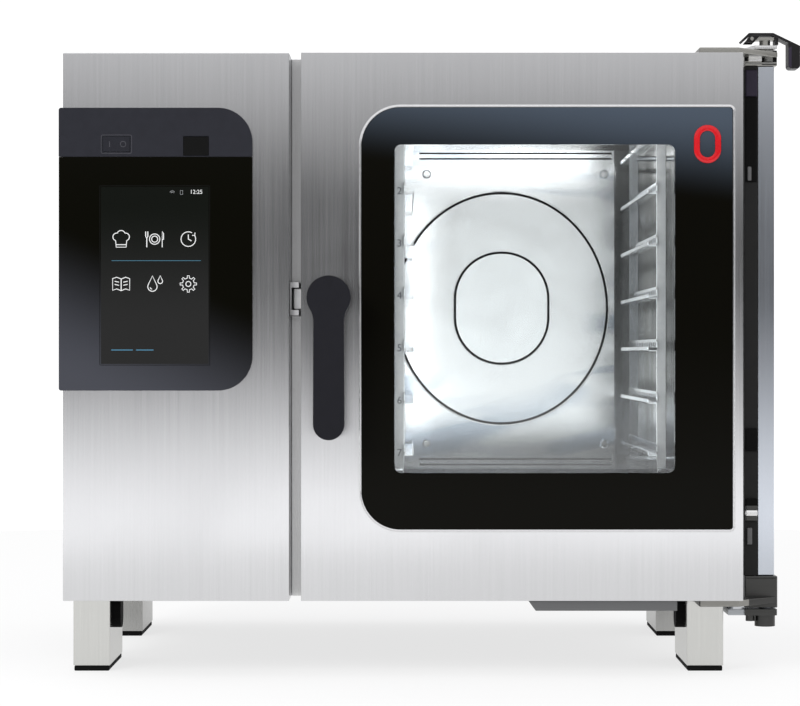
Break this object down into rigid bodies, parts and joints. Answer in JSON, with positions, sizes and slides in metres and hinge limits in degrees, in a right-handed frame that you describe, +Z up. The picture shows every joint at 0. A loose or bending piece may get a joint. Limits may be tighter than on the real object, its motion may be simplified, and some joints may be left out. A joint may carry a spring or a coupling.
{
  "type": "combi steamer oven",
  "caption": "Table-top combi steamer oven with a touch control side, shelf racks, and a glazed door that swings open and slides back.",
  "frame": {"origin": "on the floor, under the middle of the whole object's box", "axes": "+Z up, the door and controls face -Y, +X towards the door's hinge side"},
  "size_m": [0.942, 0.792, 0.82],
  "materials": {
    "steel": "brushed stainless, vertical grain",
    "bright_steel": "polished stainless",
    "dark_steel": "plain dark steel",
    "blue_steel": "satin anodised",
    "black_paint": "black satin coating",
    "slate": "matte",
    "black_glass": "black backed toughened glass",
    "clear_glass": "clear toughened glass",
    "handle_grey": "fine satin",
    "rubber": "matte",
    "wool": "rock wool",
    "board_green": "solder resist",
    "brass": "machined",
    "motor_grey": "satin paint"
  },
  "bodies": {
    "casing": {"left_side_panel": "steel", "right_side_panel": "steel", "top_cover": "steel", "rear_panel": "steel", "control_front_panel": "steel", "divider_panel": "steel", "front_frame": "steel", "foot_front_left": "bright_steel", "foot_front_right": "bright_steel", "foot_rear_left": "bright_steel", "foot_rear_right": "bright_steel", "cavity_liner": "bright_steel", "suction_panel": "bright_steel", "intake_baffle": "bright_steel", "drain_strainer": "bright_steel", "drain_pipe": "bright_steel", "exhaust_pipe": "bright_steel", "steam_generator": "bright_steel", "steam_pipe": "bright_steel", "base_frame": "dark_steel", "drip_tray": "dark_steel", "heating_element": "dark_steel", "latch_catch": "dark_steel", "upper_bracket": "blue_steel", "lower_bracket": "blue_steel", "cable_gland": "black_paint", "control_fascia": "slate", "display_module": "slate", "touch_glass": "black_glass", "door_gasket": "rubber", "foot_pad_front_left": "rubber", "foot_pad_front_right": "rubber", "foot_pad_rear_left": "rubber", "foot_pad_rear_right": "rubber", "insulation": "wool", "control_board": "board_green", "solenoid_valve_soft": "brass", "solenoid_valve_hard": "brass", "fan_motor": "motor_grey", "contactor_rail": "motor_grey"},
    "carrier": {"hinge_post": "blue_steel", "hinge_channel": "black_paint", "upper_arm": "dark_steel", "lower_arm": "dark_steel", "lever_mount": "bright_steel"},
    "door": {"door_shell": "steel", "door_inner_frame": "steel", "door_outer_glass": "black_glass", "door_inner_glass": "clear_glass", "door_top_rail": "dark_steel", "door_bottom_rail": "dark_steel", "latch_housing": "dark_steel"},
    "handle": {"door_handle": "handle_grey"},
    "bolt": {"latch_bolt": "bright_steel"},
    "lever": {"release_lever": "black_paint"},
    "switch_key": {"power_switch": "slate"},
    "usb_flap": {"usb_cover": "black_paint"},
    "fan": {"fan_wheel": "bright_steel"},
    "rack_left": {"left_rack": "bright_steel"},
    "rack_right": {"right_rack": "bright_steel"}
  },
  "joints": [
    {"name": "door_swing", "type": "hinge", "parent": "casing", "child": "carrier", "pos_m": [0.427, -0.251, 0.45], "axis": [0, 0, 1], "range_deg": [0, 90]},
    {"name": "door_slide", "type": "slide", "parent": "carrier", "child": "door", "axis": [1, 0, 0], "range_m": [0, 0.45]},
    {"name": "handle_turn", "type": "hinge", "parent": "door", "child": "handle", "pos_m": [-0.1312, -0.341, 0.4773], "axis": [0, 1, 0], "range_deg": [0, 90]},
    {"name": "bolt_slide", "type": "slide", "parent": "door", "child": "bolt", "axis": [1, 0, 0], "range_m": [0, 0.012]},
    {"name": "lever_lift", "type": "hinge", "parent": "carrier", "child": "lever", "pos_m": [0.409, -0.251, 0.8129], "axis": [0, -1, 0], "range_deg": [0, 12], "stiffness_Nm_per_rad": 0.5, "springref_deg": -17.19},
    {"name": "switch_press", "type": "slide", "parent": "casing", "child": "switch_key", "axis": [0, 1, 0], "range_m": [0, 0.002], "stiffness_N_per_m": 400, "springref_m": -0.001},
    {"name": "usb_flap_turn", "type": "hinge", "parent": "casing", "child": "usb_flap", "pos_m": [-0.29885, -0.3456, 0.6787], "axis": [-1, 0, 0], "range_deg": [0, 100]},
    {"name": "fan_spin", "type": "hinge", "parent": "casing", "child": "fan", "pos_m": [0.1054, 0.3, 0.475], "axis": [0, 1, 0], "continuous": true},
    {"name": "left_rack_lift", "type": "slide", "parent": "casing", "child": "rack_left", "axis": [0, 0, 1], "range_m": [0, 0.012]},
    {"name": "right_rack_lift", "type": "slide", "parent": "casing", "child": "rack_right", "axis": [0, 0, 1], "range_m": [0, 0.012]}
  ],
  "couplings": [
    {"joint": "bolt_slide", "follows": "handle_turn", "m_per_rad": 0.0076}
  ]
}
